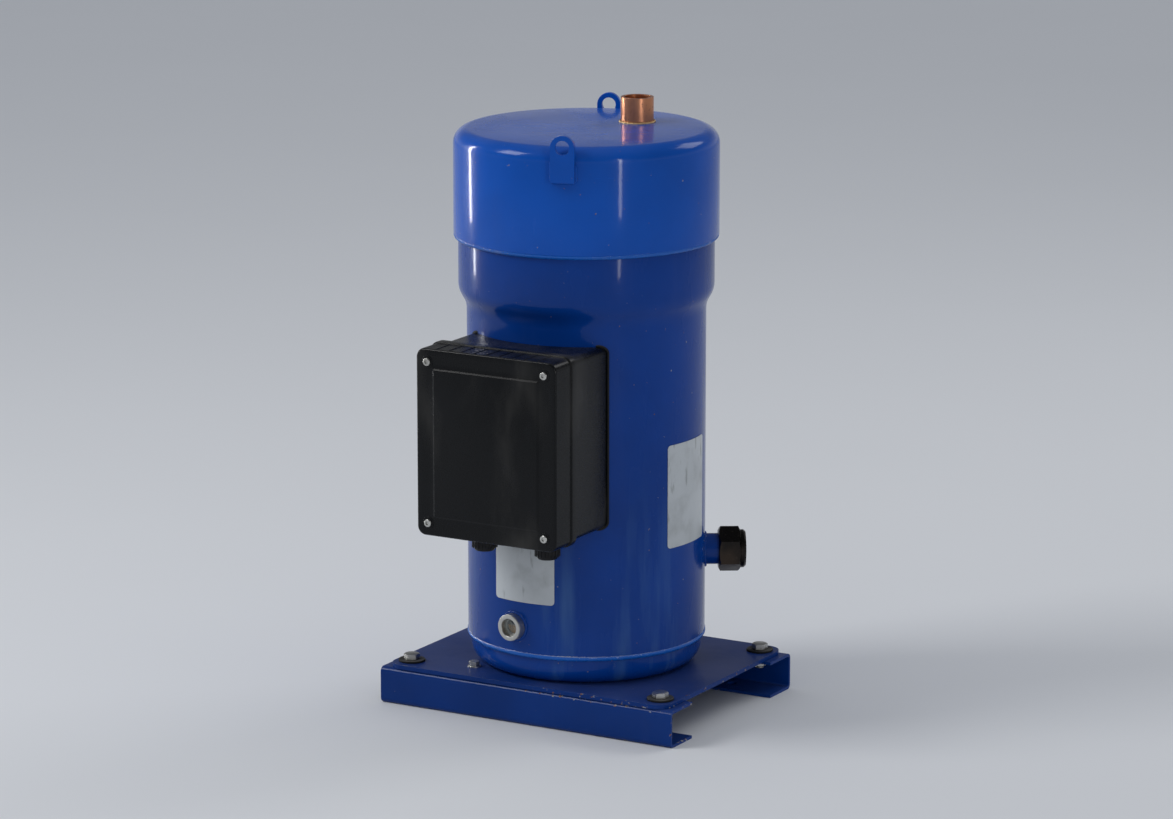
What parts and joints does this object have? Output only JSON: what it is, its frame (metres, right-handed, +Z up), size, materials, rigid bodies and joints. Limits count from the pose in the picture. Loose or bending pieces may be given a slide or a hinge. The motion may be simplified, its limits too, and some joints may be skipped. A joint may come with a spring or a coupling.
{
  "type": "scroll compressor",
  "caption": "Tall hermetic scroll compressor: blue welded shell with a wider capped top, black terminal box, pipe stubs and lifting eyes, on a base plate and two channel rails.",
  "frame": {"origin": "centre of the rail bolt pattern, on the plane of the rails' undersides", "axes": "+Z up along the shaft, +X along the rails, -Y towards the terminal box"},
  "size_m": [0.448, 0.4725, 0.816],
  "materials": {
    "shell_paint": "gloss blue paint",
    "cap_paint": "gloss blue paint",
    "base_paint": "satin blue paint",
    "rail_paint": "satin blue paint",
    "black_plastic": "fine-textured black",
    "gland_plastic": "satin black",
    "zinc_steel": "zinc plated",
    "machined_steel": "ground",
    "lamination_steel": "stacked sheets",
    "cast_iron": "as cast, machined faces",
    "scroll_iron": "finely machined",
    "pressed_steel": "dull pressed steel",
    "aluminium": "die cast",
    "bronze": "sintered bronze",
    "brass": "turned brass",
    "copper": "drawn copper",
    "winding": "enamelled copper wire",
    "lead_sleeve": "woven sleeve",
    "seal_plastic": "filled PTFE",
    "rubber": "nitrile",
    "moulding": "phenolic moulding",
    "module_plastic": "satin grey",
    "glass_seal": "fused glass",
    "sight_glass": "clear",
    "dark_nut": "black oxide"
  },
  "bodies": {
    "shell": {"rail_front": "rail_paint", "rail_rear": "rail_paint", "base_plate": "base_paint", "base_bolts": "zinc_steel", "base_washers": "rubber", "base_nuts": "zinc_steel", "bottom_cap": "shell_paint", "main_shell": "shell_paint", "weld_beads": "shell_paint", "top_cap": "cap_paint", "partition_plate": "pressed_steel", "suction_fitting": "copper", "discharge_fitting": "copper", "sight_glass_body": "zinc_steel", "sight_glass_lens": "sight_glass", "equalisation_fitting": "shell_paint", "equalisation_seal": "seal_plastic", "equalisation_cap_nut": "dark_nut", "service_ports": "zinc_steel", "service_port_caps": "brass", "lifting_lugs": "cap_paint", "ground_screw": "zinc_steel", "terminal_box_base": "black_plastic", "terminal_box_cover": "black_plastic", "cover_screws": "zinc_steel", "cable_glands": "gland_plastic", "gland_locknuts": "gland_plastic", "terminal_plate": "zinc_steel", "terminal_pins": "copper", "pin_insulators": "glass_seal", "terminal_block": "moulding", "motor_protector": "module_plastic", "motor_leads": "lead_sleeve", "lower_bearing_bracket": "cast_iron", "lower_bearing_bush": "bronze", "thrust_washer": "bronze", "stator_core": "lamination_steel", "stator_windings": "winding", "stator_bolts": "zinc_steel", "main_bearing_housing": "cast_iron", "main_bearing_bush": "bronze", "fixed_scroll": "scroll_iron", "fixed_scroll_bolts": "dark_nut", "discharge_seal": "seal_plastic", "valve_seat": "machined_steel", "valve_guard": "machined_steel"},
    "crankshaft": {"crankshaft": "machined_steel", "drive_bush": "bronze", "rotor_core": "lamination_steel", "rotor_cage": "aluminium", "upper_counterweight": "cast_iron", "lower_counterweight": "cast_iron", "oil_pickup_tube": "copper"},
    "orbiting_scroll": {"orbiting_scroll": "scroll_iron", "orbiting_bearing": "bronze"},
    "oldham_ring": {"oldham_ring": "aluminium"},
    "valve_disc": {"valve_disc": "machined_steel"}
  },
  "joints": [
    {"name": "crankshaft_turn", "type": "hinge", "parent": "shell", "child": "crankshaft", "pos_m": [0, 0, 0.4], "axis": [0, 0, 1], "continuous": true},
    {"name": "orbiting_scroll_pin", "type": "hinge", "parent": "crankshaft", "child": "orbiting_scroll", "pos_m": [0, 0.00585, 0.59], "axis": [0, 0, 1], "continuous": true},
    {"name": "oldham_slide", "type": "slide", "parent": "shell", "child": "oldham_ring", "axis": [1, 0, 0], "range_m": [-0.00585, 0.00585]},
    {"name": "check_valve_lift", "type": "slide", "parent": "shell", "child": "valve_disc", "axis": [0, 0, 1], "range_m": [0, 0.005]}
  ],
  "couplings": [
    {"joint": "orbiting_scroll_pin", "follows": "crankshaft_turn", "ratio": -1}
  ]
}
